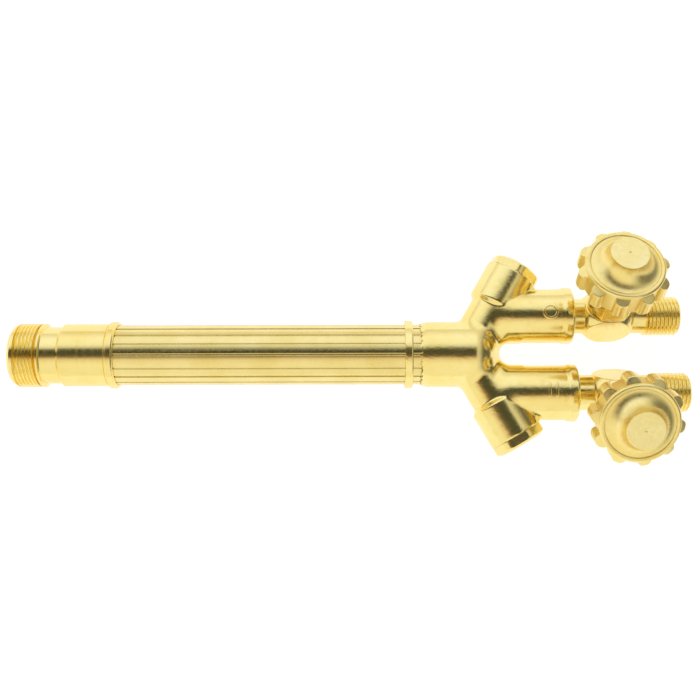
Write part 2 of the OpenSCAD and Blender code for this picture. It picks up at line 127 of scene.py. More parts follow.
def soften(points, radius=0.25, steps=4, closed=True):
    """Rounds the corners of an outline, with a support point on each side of every fillet."""
    pts = [np.array(p[:2], float) for p in points]
    own = [p[2] if len(p) > 2 else radius for p in points]
    out = []
    for i, p in enumerate(pts):
        if not closed and i in (0, len(pts) - 1):
            out.append(p)
            continue
        a, b = pts[i - 1] - p, pts[(i + 1) % len(pts)] - p
        la, lb = np.linalg.norm(a), np.linalg.norm(b)
        a, b = a / la, b / lb
        turn = math.pi - math.acos(max(-1, min(1, a.dot(b))))
        if turn < math.radians(6) or own[i] <= 0:
            out.append(p)
            continue
        cut = min(own[i] * math.tan(turn / 2), 0.42 * la, 0.42 * lb)
        bisector = (a + b) / np.linalg.norm(a + b)
        centre = p + bisector * (cut / math.tan(turn / 2) / math.cos(turn / 2))
        first, last = p + a * cut - centre, p + b * cut - centre
        out.append(p + a * min(1.5 * cut, 0.46 * la))
        for s in np.linspace(0, 1, steps + 1):
            arc = (math.sin((1 - s) * turn) * first + math.sin(s * turn) * last) / math.sin(turn)
            out.append(centre + arc)
        out.append(p + b * min(1.5 * cut, 0.46 * lb))
    return np.array(out)


def dense(points, step, low=-1e9, high=1e9):
    """Adds points to an outline's long stretches between two stations."""
    out = [points[0]]
    for a, b in zip(points[:-1], points[1:]):
        inside = low - 1e-6 <= min(a[0], b[0]) and max(a[0], b[0]) <= high + 1e-6
        n = max(1, int(math.ceil(np.linalg.norm(b - a) / step))) if inside else 1
        out += [a + (b - a) * k / n for k in range(1, n + 1)]
    return np.array(out)


def smooth_min(a, b, k):
    h = np.clip(0.5 + 0.5 * (b - a) / k, 0, 1)
    return b + (a - b) * h - k * h * (1 - h)


def smooth_max(a, b, k):
    return -smooth_min(-a, -b, k)


def even_angles(count):
    return np.arange(count) * 2 * math.pi / count


def mesh_object(name, verts, faces, outward=True):
    mesh = bpy.data.meshes.new(name)
    mesh.from_pydata([tuple(v) for v in np.asarray(verts) * MM], [], [tuple(map(int, f)) for f in faces])
    bm = bmesh.new()
    bm.from_mesh(mesh)
    bmesh.ops.remove_doubles(bm, verts=bm.verts, dist=1e-7)
    bmesh.ops.dissolve_degenerate(bm, edges=bm.edges, dist=1e-8)
    if outward:
        bmesh.ops.recalc_face_normals(bm, faces=bm.faces)
    bm.to_mesh(mesh)
    bm.free()
    mesh.shade_smooth()
    obj = bpy.data.objects.new(name, mesh)
    bpy.context.scene.collection.objects.link(obj)
    return obj


def turned(name, axes, outline, angles=None, shape=None, closed=True):
    """Sweeps an outline of (distance, radius) points round an axis. `shape` may bend the result."""
    angles = even_angles(128) if angles is None else np.asarray(angles)
    t, r = np.broadcast_arrays(outline[:, 0][:, None], outline[:, 1][:, None])
    t = np.repeat(t, len(angles), 1)
    r = np.repeat(r, len(angles), 1)
    theta = np.repeat(angles[None, :], len(outline), 0)
    if shape:
        t, r = shape(t, r, theta)
    rings, count = r.shape
    verts = axes.points(t, r, theta).reshape(-1, 3)
    faces = []
    for i in range(rings if closed else rings - 1):
        k = (i + 1) % rings
        for j in range(count):
            n = (j + 1) % count
            faces.append((i * count + j, i * count + n, k * count + n, k * count + j))
    return mesh_object(name, verts, faces)


def boolean(obj, cutter, kind):
    change = obj.modifiers.new("cut", "BOOLEAN")
    change.operation = kind
    change.solver = "EXACT"
    change.object = cutter
    apply_modifiers(obj)
    bpy.data.objects.remove(cutter, do_unlink=True)


def apply_modifiers(obj):
    graph = bpy.context.evaluated_depsgraph_get()
    mesh = bpy.data.meshes.new_from_object(obj.evaluated_get(graph))
    old = obj.data
    obj.modifiers.clear()
    obj.data = mesh
    bpy.data.meshes.remove(old)


def crisp(obj, angle):
    """Smooth faces, but edges sharper than the angle stay sharp."""
    obj.data.shade_smooth()
    obj.data.set_sharp_from_angle(angle=math.radians(angle))


def rod(name, axes, radius, start, end, count=48):
    outline = np.array([[start, 0], [start, radius], [end, radius], [end, 0]], float)
    return turned(name, axes, outline, even_angles(count), closed=False)


# ---- solids from a distance field ----

def net(name, field, low, high, step, relax=2):
    """Meshes the surface where a distance field is zero, and settles the points onto it."""
    axes = [np.arange(low[i], high[i] + step, step) for i in range(3)]
    shape = tuple(len(a) for a in axes)
    grid = np.stack(np.meshgrid(*axes, indexing="ij"), -1).reshape(-1, 3)
    parts = [field(grid[i:i + 400000]) for i in range(0, len(grid), 400000)]
    f = np.concatenate(parts).reshape(shape)
    inside = f < 0
    cells = tuple(n - 1 for n in shape)
    total = np.zeros(cells + (3,))
    hits = np.zeros(cells)
    corner = lambda d: tuple(slice(d[i], d[i] + cells[i]) for i in range(3))
    for axis in range(3):
        for p in (0, 1):
            for q in (0, 1):
                d0 = [0, 0, 0]
                d0[(axis + 1) % 3], d0[(axis + 2) % 3] = p, q
                d1 = list(d0)
                d1[axis] = 1
                a, b = f[corner(d0)], f[corner(d1)]
                cross = (a < 0) != (b < 0)
                share = np.where(cross, a / np.where(cross, a - b, 1), 0)
                point = np.zeros(cells + (3,))
                point[..., (axis + 1) % 3] = p
                point[..., (axis + 2) % 3] = q
                point[..., axis] = share
                total += point * cross[..., None]
                hits += cross
    active = hits > 0
    index = -np.ones(cells, int)
    index[active] = np.arange(active.sum())
    where = np.argwhere(active)
    verts = (where + total[active] / hits[active][:, None]) * step + np.array(low)
    faces = []
    for axis in range(3):
        b, c = (axis + 1) % 3, (axis + 2) % 3
        lead = [slice(None)] * 3
        lead[axis] = slice(0, shape[axis] - 1)
        lead[b] = slice(1, shape[b] - 1)
        lead[c] = slice(1, shape[c] - 1)
        nxt = list(lead)
        nxt[axis] = slice(1, shape[axis])
        first, second = inside[tuple(lead)], inside[tuple(nxt)]
        for solid_first in (True, False):
            at = np.argwhere(first & ~second if solid_first else ~first & second)
            at[:, b] += 1
            at[:, c] += 1
            ring = []
            for db, dc in ((-1, -1), (0, -1), (0, 0), (-1, 0)):
                cell = at.copy()
                cell[:, b] += db
                cell[:, c] += dc
                ring.append(index[cell[:, 0], cell[:, 1], cell[:, 2]])
            quad = np.stack(ring if solid_first else ring[::-1], 1)
            faces.append(quad)
    faces = np.concatenate(faces)
    edges = np.unique(np.sort(np.concatenate([faces[:, [0, 1]], faces[:, [1, 2]], faces[:, [2, 3]],
                                              faces[:, [3, 0]]]), 1), axis=0)
    degree = np.bincount(edges.ravel(), minlength=len(verts))[:, None]
    for turn in range(relax + 1):
        if turn:
            spread = np.zeros_like(verts)
            np.add.at(spread, edges[:, 0], verts[edges[:, 1]])
            np.add.at(spread, edges[:, 1], verts[edges[:, 0]])
            verts = verts + 0.5 * (spread / np.maximum(degree, 1) - verts)
        for _ in range(2):
            verts = verts - settle(field, verts, step)
    return mesh_object(name, verts, faces, outward=False)


def settle(field, verts, step):
    d = field(verts)
    e = 0.02
    slope = np.stack([(field(verts + e * np.eye(3)[i]) - field(verts - e * np.eye(3)[i])) / (2 * e)
                      for i in range(3)], -1)
    size = np.maximum((slope ** 2).sum(-1), 0.2)
    move = (d / size)[:, None] * slope
    return np.clip(move, -0.5 * step, 0.5 * step)


def cylinder_field(axes, radius, start, end, edge=0.0):
    def field(p):
        t, r = axes.local(p)
        x = r - radius + edge
        y = np.abs(t - (start + end) / 2) - (end - start) / 2 + edge
        return (np.minimum(np.maximum(x, y), 0)
                + np.sqrt(np.maximum(x, 0) ** 2 + np.maximum(y, 0) ** 2) - edge)
    return field


def arm_axes(side):
    return Axes((0, SIDES[side] * ARM_Y, 0), (1, 0, 0), (0, 0, 1))


# ---- materials ----

class Nodes:
    """A short way to write node trees, in a new material or in the tree that is given."""

    def __init__(self, name, tree=None):
        self.tree = tree
        if tree is None:
            self.material = bpy.data.materials.new(name)
            self.material.use_nodes = True
            self.tree = self.material.node_tree
            self.shader = self.tree.nodes["Principled BSDF"]

    def add(self, kind, inputs=None, **settings):
        node = self.tree.nodes.new(kind)
        for key, value in settings.items():
            setattr(node, key, value)
        for key, value in (inputs or {}).items():
            if isinstance(value, bpy.types.NodeSocket):
                self.tree.links.new(value, node.inputs[key])
            else:
                node.inputs[key].default_value = value
        return node

    def math(self, operation, a, b=0.0, c=None):
        inputs = {0: a, 1: b}
        if c is not None:
            inputs[2] = c
        return self.add("ShaderNodeMath", inputs, operation=operation).outputs[0]

    def vector(self, operation, a, b=(0, 0, 0), out=0):
        return self.add("ShaderNodeVectorMath", {0: a, 1: b}, operation=operation).outputs[out]

    def place(self):
        return self.add("ShaderNodeTexCoord").outputs["Object"]

    def noise(self, where, scale, detail=3.0, rough=0.55):
        return self.add("ShaderNodeTexNoise", {"Vector": where, "Scale": scale, "Detail": detail,
                                              "Roughness": rough}).outputs[0]

    def ramp(self, value, stops):
        node = self.add("ShaderNodeValToRGB", {0: value})
        ramp = node.color_ramp
        while len(ramp.elements) < len(stops):
            ramp.elements.new(0.5)
        for element, (at, colour) in zip(ramp.elements, stops):
            element.position = at
            element.color = tuple(colour) + (1,) if len(colour) == 3 else colour
        return node.outputs[0]

    def level(self, value, low, high, start=0.0, end=1.0):
        """Maps a value between start and end to a number between low and high."""
        return self.add("ShaderNodeMapRange", {0: value, 1: start, 2: end, 3: low, 4: high}).outputs[0]

    def mix(self, share, a, b):
        node = self.add("ShaderNodeMix", data_type="RGBA")
        for socket, value in zip([i for i in node.inputs if i.enabled], (share, a, b)):
            if isinstance(value, bpy.types.NodeSocket):
                self.tree.links.new(value, socket)
            else:
                socket.default_value = value if isinstance(value, float) else tuple(value) + (1,)
        return [o for o in node.outputs if o.enabled][0]

    def set(self, name, value):
        if isinstance(value, bpy.types.NodeSocket):
            self.tree.links.new(value, self.shader.inputs[name])
        else:
            self.shader.inputs[name].default_value = value

    def bump(self, height, depth, under=None):
        inputs = {"Height": height, "Distance": depth, "Strength": 1.0}
        if under is not None:
            inputs["Normal"] = under
        return self.add("ShaderNodeBump", inputs).outputs[0]


def round_axis(nodes, axes):
    """Distance along an axis and distance from it, as sockets, in metres."""
    rel = nodes.vector("SUBTRACT", nodes.place(), tuple(axes.origin * MM))
    along = nodes.vector("DOT_PRODUCT", rel, tuple(axes.along), out=1)
    foot = nodes.add("ShaderNodeVectorMath", {0: tuple(axes.along), 3: along}, operation="SCALE").outputs[0]
    radius = nodes.vector("LENGTH", nodes.vector("SUBTRACT", rel, foot), out=1)
    return along, radius


BRASS_PALE = (0.96, 0.80, 0.33)
BRASS_DEEP = (0.94, 0.74, 0.25)
BRASS_WARM = (0.84, 0.60, 0.16)


def brass(name, roughness, grain, axes=None, pale=BRASS_PALE, deep=BRASS_DEEP, stain=0.25):
    """Brass with a finish: turned, drawn, forged or satin.

    Noise scales are per metre, and bump depths are in metres.
    """
    n = Nodes(name)
    where = n.place()
    n.set("Metallic", 1.0)
    cloud = n.noise(where, 90, 4)
    fine = n.noise(where, 900, 3)
    tone = n.mix(n.level(cloud, 0, 1, 0.35, 0.65), pale, deep)
    spots = n.level(n.noise(where, 260, 5, 0.7), 0, stain, 0.56, 0.74)
    tone = n.mix(spots, tone, BRASS_WARM)
    rough = n.level(fine, roughness * 0.8, roughness * 1.25, 0.3, 0.7)
    if grain == "turned":
        along, radius = round_axis(n, axes)
        ring_place = n.add("ShaderNodeCombineXYZ", {0: along, 1: radius}).outputs[0]
        rings = n.noise(ring_place, 5200, 2, 0.6)
        broad = n.noise(ring_place, 700, 2, 0.6)
        rough = n.math("ADD", rough, n.level(broad, -0.03, 0.05, 0.35, 0.65))
        normal = n.bump(rings, 0.000003)
        normal = n.bump(n.noise(where, 300, 3), 0.000012, normal)
    elif grain == "drawn":
        stretched = n.vector("MULTIPLY", where, (0.02, 1, 1))
        lines = n.noise(stretched, 5000, 3, 0.7)
        broad = n.noise(stretched, 1100, 3, 0.6)
        rough = n.math("ADD", rough, n.level(broad, -0.04, 0.06, 0.35, 0.65))
        normal = n.bump(lines, 0.000005)
        normal = n.bump(broad, 0.00001, normal)
    elif grain == "forged":
        normal = n.bump(n.noise(where, 420, 4, 0.6), 0.00006)
        normal = n.bump(n.noise(where, 1600, 3, 0.6), 0.000012, normal)
        pits = n.add("ShaderNodeTexVoronoi", {"Vector": where, "Scale": 900.0}).outputs["Distance"]
        normal = n.bump(n.level(pits, 0, 1, 0.08, 0.2), 0.000012, normal)
    else:
        normal = n.bump(n.noise(where, 800, 3), 0.00001)
        normal = n.bump(n.noise(where, 4200, 2), 0.000004, normal)
    n.set("Base Color", tone)
    n.set("Roughness", rough)
    n.set("Normal", normal)
    return n.material


# ---- handle ----

def thread(start, end, root, crest, pitch, hand, fade_in=1.0, fade_out=0.4):
    """A helical ridge, cut away where the outline itself is lower."""
    def shape(t, r, theta):
        phase = ((t - start) / pitch - hand * theta / (2 * math.pi)) % 1
        ridge = np.clip((1 - np.abs(2 * phase - 1) - 0.12) / 0.70, 0, 1)
        ridge = ridge * ridge * (3 - 2 * ridge) * 0.35 + ridge * 0.65
        grow = np.clip((t - start) / (fade_in * pitch), 0, 1) * np.clip((end - t) / (fade_out * pitch), 0, 1)
        height = root + (crest - root) * ridge * grow
        zone = (t > start) & (t < end) & (r > root - 0.02)
        return t, np.where(zone, np.minimum(r, height), r)
    return shape


def front_head():
    high = node_box("front_head")[1]
    ring_r = float(high[1])
    spigot_end = float(high[0])
    crest = mount("coupling_thread")["dims"]["r_mm"]
    socket_r = mount("front_socket")["dims"]["r_mm"]
    socket_depth = mount("front_socket")["dims"]["length_mm"]
    grip_r = float(node_box("grip_tube")[1][1])
    grip_x = float(node_box("grip_tube")[0][0]) - 0.02
    head_len = grip_x + 1.0
    cone_r, cone_end, spigot_r = 4.5, socket_depth + 10, grip_r - 1.62
    land_r, root, neck_r, sleeve_r = crest - 0.6, crest - 0.79, crest - 1.25, crest - 0.175
    thread_from, thread_to = 2.3, 9.95
    outline = [
        [cone_end, 0], [cone_end, cone_r, 0.3], [socket_depth + 1.2, cone_r],
        [socket_depth, socket_r - 0.3, 0.2],
        [socket_depth - 0.2, socket_r], [0.5, socket_r], [0, socket_r + 0.5, 0.15], [0, land_r - 0.9, 0.5],
        [1.1, land_r, 0.4], [thread_from - 0.05, land_r, 0.15], [thread_from, crest, 0],
        [thread_to, crest, 0], [thread_to + 0.1, root, 0.1], [thread_to + 0.35, root, 0.1],
        [thread_to + 0.5, crest, 0.15], [11.2, crest, 0.15], [11.4, neck_r, 0.25], [17.4, neck_r, 0.3],
        [18.3, sleeve_r, 0.3], [head_len - 3.3, sleeve_r, 0.15], [head_len - 3.25, sleeve_r - 0.35, 0.1],
        [head_len - 2.75, sleeve_r - 0.35, 0.1], [head_len - 2.7, ring_r, 0.3],
        [head_len - 0.55, ring_r, 0.3],
        [head_len - 0.35, ring_r - 0.55, 0.2], [head_len, ring_r - 0.6, 0.15], [head_len, grip_r + 0.02, 0.1],
        [grip_x, grip_r + 0.02, 0.05], [grip_x, spigot_r, 0.05], [spigot_end, spigot_r, 0.2], [spigot_end, 0]]
    outline = dense(soften(outline, closed=False), 0.09, thread_from, thread_to)
    outline[0, 1] = outline[-1, 1] = 0
    ridges = thread(thread_from, thread_to, root, crest, 1.27, 1, fade_in=0.6, fade_out=0.5)
    head = turned("front_head_turned", HANDLE, outline, even_angles(180), ridges, closed=False)
    for r, start, end, y in ((1.2, cone_end - 1, 30, 3.1), (1.0, socket_depth - 2, 30, -6.0),
                             (TUBE_BORE_R, 29, spigot_end + 1, TUBE_Y),
                             (TUBE_BORE_R, 29, spigot_end + 1, -TUBE_Y)):
        boolean(head, rod("port", Axes((0, y, 0), (1, 0, 0), (0, 0, 1)), r, start, end), "DIFFERENCE")
    crisp(head, 35)
    return head


def grip_tube():
    low, high = node_box("grip_tube")
    outer, inner = float(high[1]), float(high[1]) - 1.6
    wide, count, depth, half = math.radians(26), 18, 0.42, 0.36
    step = (2 * math.pi - wide) / (count - 1)
    # measured from +Z round towards -Y, where the wide land's middle is 21 degrees round
    grooves = [math.radians(21) + wide / 2 + i * step for i in range(count)]
    offsets = np.array([-3.2, -1.5, -1.15, -0.95, -0.75, -0.4, 0, 0.4, 0.75, 0.95, 1.15, 1.5, 3.2])
    offsets = offsets * half / outer
    angles = np.sort(np.concatenate([(g + offsets) % (2 * math.pi) for g in grooves]
                                    + [(np.array([g + step / 2]) % (2 * math.pi)) for g in grooves]))
    # the axes' second direction is -Y when the first is +Z
    axes = Axes((0, 0, 0), (1, 0, 0), (0, 0, 1))

    def shape(t, r, theta):
        deep = np.zeros_like(r)
        for g in grooves:
            gap = np.abs((theta - g + math.pi) % (2 * math.pi) - math.pi) * outer / half
            deep = np.maximum(deep, depth * np.clip((1.15 - gap) / 0.35, 0, 1))
        return t, np.where(r > outer - 0.7, r - deep, r)

    outline = soften([[low[0], inner], [low[0], outer], [high[0], outer], [high[0], inner]], 0.15)
    return turned("grip_tube_drawn", axes, outline, angles, shape)


def yoke_field():
    barrel_r, bead_r = 11.925, 12.33
    branch_r, boss_r, boss_end = 8.25, 9.8, 34.0
    slot_r = ARM_Y - ARM_R
    slot_x = 175.6 + slot_r
    nose_reach, nose_r, arm_nose_r = 10.5, 9.5, 6.0
    barrel = cylinder_field(HANDLE, barrel_r, BARREL_X, CROSS_X + nose_reach, nose_r)
    barrel_bead = cylinder_field(HANDLE, bead_r, BARREL_X, BARREL_X + 2.9, 0.45)

    def slot_bend(p):
        """The bend that joins the two arms round the end of the slot, as far as the branches' axes."""
        rim_r = 5.2
        reach = np.hypot(np.minimum(p[..., 0] - slot_x, 0), p[..., 1])
        bend = np.hypot(reach - slot_r - rim_r, p[..., 2]) - rim_r
        past = (p[..., 0] - CROSS_X) * math.sin(math.pi / 3) - np.abs(p[..., 1]) * math.cos(math.pi / 3)
        return np.maximum(np.maximum(bend, -2.0 - past), p[..., 0] - slot_x - 3)

    arms, branches, bores = [], [], []
    for side in SIDES:
        sloped, arm, end = BRANCH[side], arm_axes(side), ARM_END[side]
        tube = Axes((0, SIDES[side] * TUBE_Y, 0), (1, 0, 0), (0, 0, 1))

        def boss(p, axes=sloped):
            t, r = axes.local(p)
            shoulder = (r - branch_r - (t - 19.0)) / math.sqrt(2)
            return smooth_max(cylinder_field(axes, boss_r, 17, boss_end, 0.35)(p), shoulder, 0.25)

        branches += [(cylinder_field(sloped, branch_r, 1, 24, 0.5), boss)]
        arms += [(cylinder_field(arm, ARM_R, CROSS_X + 9.0, end - 1, arm_nose_r),
                  cylinder_field(arm, ARM_R, CROSS_X + 20, end, 0.5),
                  cylinder_field(arm, ARM_R + 0.5, end - 3.6, end, 0.8))]
        bores += [cylinder_field(sloped, 4.0, 5.5, 40), cylinder_field(sloped, 5.55, 12.5, 40),
                  cylinder_field(sloped, 7.0, 26.6, 40),
                  cylinder_field(arm, 2.5, CROSS_X + 9, end + 5),
                  cylinder_field(arm, 6.37, end - 11.5, end + 5)]
        bores += [cylinder_field(tube, TUBE_BORE_R, BARREL_X, BARREL_X + 17.1),
                  cylinder_field(tube, 1.6, BARREL_X, CROSS_X + 3)]
    bores += [cylinder_field(HANDLE, 10.87, BARREL_X - 5, BARREL_X + 11.1)]

    def field(p):
        d = barrel(p)
        trunk = smooth_min(branches[0][0](p), branches[1][0](p), 0.8)
        d = smooth_min(d, trunk, 1.6)
        for rounded, body, bead in arms:
            arm = smooth_min(np.minimum(rounded(p), body(p)), bead(p), 0.7)
            d = smooth_min(d, arm, 3.0)
        d = smooth_min(d, slot_bend(p), 1.8)
        d = smooth_max(d, slot_r - np.hypot(np.maximum(slot_x - p[..., 0], 0), p[..., 1]), 0.3)
        for _, boss in branches:
            d = smooth_min(d, boss(p), 0.35)
        d = smooth_min(d, barrel_bead(p), 0.8)
        d = np.minimum(d, np.maximum(barrel(p), p[..., 0] - BARREL_X - 12))
        for bore in bores:
            d = np.maximum(d, -bore(p))
        # the blends never swell past the turned end faces
        d = smooth_max(d, BARREL_X - p[..., 0], 0.1)
        return d
    return field


def yoke():
    low, high = node_box("yoke_body")
    margin = 1.2
    step = 0.4
    body = net("yoke_forging", yoke_field(), low - margin, high + margin, step)
    crisp(body, 40)
    return body


def arm_mark(side):
    """A raised plain ring on the oxygen arm, and two plain bars on the fuel arm."""
    arm = arm_axes(side)
    raised, mark_x, ring_r, bar_half, bar_gap = 0.36, 193.2, 2.4, 2.2, 1.3
    top = cylinder_field(arm, ARM_R + raised, 180, 200, 0)
    centre = np.array([mark_x, SIDES[side] * ARM_Y])

    def field(p):
        x, y = p[..., 0] - centre[0], p[..., 1] - centre[1]
        if side == "oxygen":
            flat = np.abs(np.hypot(x, y) - ring_r) - 0.5
        else:
            beyond = np.maximum(np.abs(y) - bar_half, 0)
            flat = np.minimum(*[np.hypot(beyond, np.maximum(np.abs(x - o) - 0.1, 0)) - 0.4
                                for o in (-bar_gap, bar_gap)])
        return smooth_max(smooth_max(flat, top(p), 0.25), 9.4 - p[..., 2], 0.05)

    low = np.array([centre[0] - 3.4, centre[1] - 3.4, 9.2])
    return net(f"{side}_arm_mark", field, low, low + [6.8, 6.8, 1.6], 0.12, relax=1)


# ---- caps, nuts and valve bodies ----

def polygon_radius(theta, sides, across_flats, turn=0.0):
    step = 2 * math.pi / sides
    return across_flats / 2 / np.cos((theta - turn + step / 2) % step - step / 2)


def polygon_angles(sides, turn=0.0):
    spread = np.array([0, 0.12, 0.25, 0.4, 0.55, 0.68, 0.78, 0.86, 0.92, 0.96, 0.985])
    spread = np.concatenate([-spread[:0:-1], spread, [1.0]])
    half = math.pi / sides
    flats = np.concatenate([np.arctan(spread * math.tan(half)) + 2 * half * i for i in range(sides)])
    return np.sort((flats + turn) % (2 * math.pi))


def arrestor_cap(side):
    flats, corner_r, base, top = 17.5, 9.55, 34.05, 37.8
    shank, groove = 6.98, 5.54
    outline = [[top, 0], [top, flats / 2 - 0.9, 0.3], [top - 0.95, corner_r, 0.35], [base, corner_r, 0.12],
               [base, shank, 0.1], [29.72, shank, 0.08], [29.72, groove, 0.2], [28.28, groove, 0.2],
               [28.28, shank, 0.08], [26.7, shank, 0.3], [26.7, 3.0, 0.2], [30.6, 3.0, 0.2], [30.6, 0]]
    outline = dense(soften(outline, closed=False), 0.25, base - 0.01, top - 0.2)
    turn = math.radians(39.4 if side == "oxygen" else 10)

    def shape(t, r, theta):
        hexagon = smooth_min(r, polygon_radius(theta, 6, flats, turn), 0.12)
        return t, np.where((t >= base - 0.01) & (r > 8), hexagon, r)

    cap = turned(f"{side}_hex_cap", BRANCH[side], outline, polygon_angles(6, turn), shape, closed=False)
    crisp(cap, 40)
    return cap


def packing_nut(side):
    flats, corner_r, base, top = 14.3, 8.3, 7.35, 18.6
    turn = math.radians(30)
    outline = [[base, 5.72, 0.15], [base, flats / 2 - 0.4, 0.2], [base + 1.2, corner_r, 0.25],
               [top - 1.0, corner_r, 0.3], [top, flats / 2 - 0.9, 0.3], [top, 3.25, 0.15],
               [13.9, 3.25, 0.05], [13.9, 5.72, 0.05]]
    outline = dense(soften(outline), 0.3, base, top)

    def shape(t, r, theta):
        return t, np.where(r > 6.2, smooth_min(r, polygon_radius(theta, 6, flats, turn), 0.15), r)

    nut = turned(f"{side}_hex_nut", STEM[side], outline, polygon_angles(6, turn), shape)
    crisp(nut, 40)
    return nut


def valve_body(side):
    """Square bar with its corners turned to an arc, stubs, a hose thread and a bonnet for the stem."""
    flats, corner_r, stub = 13.8, 10.0, 6.35
    front_end, back_end, neck, end = -8.9, 8.6, 13.6, 25.89
    plug = ARM_END[side] - 11.4 - VALVE_CENTRE[side][0]
    hose = mount(f"{side}_hose_thread")["dims"]["r_mm"]
    root = hose - 0.82
    half, rise = (back_end - front_end) / 2, corner_r - stub
    arc_r = (half ** 2 + rise ** 2) / (2 * rise)
    bulge = [[front_end + half + x, corner_r - arc_r + math.sqrt(arc_r ** 2 - x * x),
              0.1 if abs(x) > half - 0.01 else 0] for x in np.linspace(-half, half, 33)]
    outline = [[plug, 2.5, 0.1], [plug, stub, 0.3]] + bulge + [
        [neck - 0.15, stub, 0.1], [neck, hose, 0], [end - 1.0, hose, 0], [end, root - 0.2, 0.15],
        [end, 5.2, 0.1], [end - 2.6, 2.6, 0.2], [10.5, 2.6, 0.2], [7.5, 1.6, 0.3], [0, 1.6, 0],
        [-6, 2.5, 0.3]]
    outline = soften(outline)
    outline = dense(outline, 0.1, neck - 0.01, end - 0.05)
    outline = dense(outline, 0.3, front_end, back_end)
    helix = thread(neck, end, root, hose, 1.411, SIDES[side], fade_in=0.7, fade_out=0.1)

    def shape(t, r, theta):
        square = polygon_radius(theta, 4, flats)
        r = np.where((t > front_end - 0.05) & (t < back_end + 0.05) & (r > flats / 2 - 0.6),
                     smooth_min(r, square, 0.12), r)
        return helix(t, r, theta)

    angles = np.unique(np.round(np.concatenate([polygon_angles(4), even_angles(120)]), 5))
    body = turned(f"{side}_valve_bar", VALVE[side], outline, angles, shape)
    bonnet = turned("bonnet", STEM[side], soften([[2, 0], [2, 5.7, 0.1], [13.4, 5.7, 0.3], [13.4, 0]],
                                                closed=False), even_angles(72), closed=False)
    boolean(body, bonnet, "UNION")
    stem_bore = soften([[-1.2, 0], [-1.2, 4.05, 0.1], [9.2, 4.05, 0.1], [9.2, 4.8, 0.05], [15, 4.8], [15, 0]],
                       closed=False)
    boolean(body, turned("bore", STEM[side], stem_bore, even_angles(72), closed=False), "DIFFERENCE")
    crisp(body, 38)
    return body


# ---- knobs ----

KNOB_BASE, RIM_H, RIM_R, BEAD_R, SKIRT_R, CREASE_R = 23.5, 33.0, 13.7, 0.9, 13.5, 12.0
TIP_R, LUG_W, LUG_TOP, BUTTON_R, BUTTON_BASE, BUTTON_TOP = 16.0, 4.9, 31.9, 6.5, 39.8, 40.37
KNOB_PHASE = {"oxygen": math.radians(7.5), "fuel": math.radians(-7.1)}


def knob(side):
    lugs, steps = 10, 16
    start_r = CREASE_R - 0.3
    across, up = start_r - BUTTON_R - 0.05, BUTTON_BASE - RIM_H - 0.5
    cove = [[RIM_H + 0.45 + up * (1 - math.cos(math.pi / 2 * i / steps)),
             start_r - across * math.sin(math.pi / 2 * i / steps), 0] for i in range(steps + 1)]
    bead = [[RIM_H + BEAD_R * math.sin(a), RIM_R - BEAD_R + BEAD_R * math.cos(a), 0]
            for a in map(math.radians, range(-40, 91, 10))]
    rim_top = RIM_H + BEAD_R
    outline = [[KNOB_BASE, 3.2, 0.2], [KNOB_BASE, 6.3, 0.4], [30.0, 6.3, 0.8], [30.0, 10.9, 0.8],
               [KNOB_BASE, 11.2, 0.4], [KNOB_BASE, 12.9, 0.5], [KNOB_BASE + 0.55, 13.35, 0.3],
               [KNOB_BASE + 0.55, 15.0, 0.2], [KNOB_BASE + 1.5, TIP_R, 0.7],
               [LUG_TOP - 0.8, TIP_R - 0.02, 0.6],
               [LUG_TOP + 0.2, SKIRT_R + 0.02, 0.1]] + bead + [
               [rim_top - 0.1, CREASE_R + 0.05, 0.2], [rim_top - 0.45, CREASE_R - 0.15, 0.1]] + cove + [
               [BUTTON_BASE, 4.02, 0.05], [26.0, 4.02, 0.05], [26.0, 3.2, 0.05]]
    outline = dense(soften(outline), 0.45)

    def shape(t, r, theta):
        a = (theta - KNOB_PHASE[side] + math.pi / lugs) % (2 * math.pi / lugs) - math.pi / lugs
        centre = TIP_R - LUG_W / 2
        chord = np.maximum((LUG_W / 2) ** 2 - (centre * np.sin(a)) ** 2, 0)
        lug = np.where(chord > 0, centre * np.cos(a) + np.sqrt(chord), 0)
        limit = smooth_max(lug, np.full_like(lug, SKIRT_R - 0.1), 0.3)
        wall = (r > SKIRT_R - 0.9) & (t > KNOB_BASE + 0.4) & (t < LUG_TOP + 0.2)
        return t, np.where(wall, smooth_min(r, limit, 0.1), r)

    near = np.radians([0, 1.5, 3, 4.5, 6, 7.2, 8.1, 8.8, 9.3, 9.7, 10.0, 10.3, 10.7, 11.3, 12.2, 13.5,
                       15.5, 18])
    lobe = np.concatenate([-near[:0:-1], near[:-1]]) + KNOB_PHASE[side]
    angles = np.sort(np.concatenate([lobe + 2 * math.pi * i / lugs for i in range(lugs)]) % (2 * math.pi))
    bell = turned(f"{side}_lugged_knob", STEM[side], outline, angles, shape)
    crisp(bell, 38)
    return bell


def knob_button(side):
    outline = [[BUTTON_TOP - 0.25, 0], [BUTTON_TOP - 0.12, 0.28, 0.1], [BUTTON_TOP, 0.45, 0.15],
               [BUTTON_TOP, BUTTON_R, 0.2], [BUTTON_BASE + 0.2, BUTTON_R, 0.08],
               [BUTTON_BASE + 0.06, BUTTON_R - 0.2, 0.1], [BUTTON_BASE + 0.06, 3.98, 0.05], [26.1, 3.98, 0.3],
               [26.1, 2.62, 0.1], [35, 2.62, 0.1], [35, 0]]
    button = turned(f"{side}_knob_button", STEM[side], dense(soften(outline, closed=False), 0.8),
                    even_angles(96), closed=False)
    crisp(button, 38)
    return button


# ---- put the pieces together ----

def fit(piece, body, node, material):
    piece.data.materials.clear()
    piece.data.materials.append(material)
    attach(piece, body)
    if node:
        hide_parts(node)


def finish_cad_node(node, material):
    data = frame["nodes"][node].data
    data.materials.clear()
    data.materials.append(material)


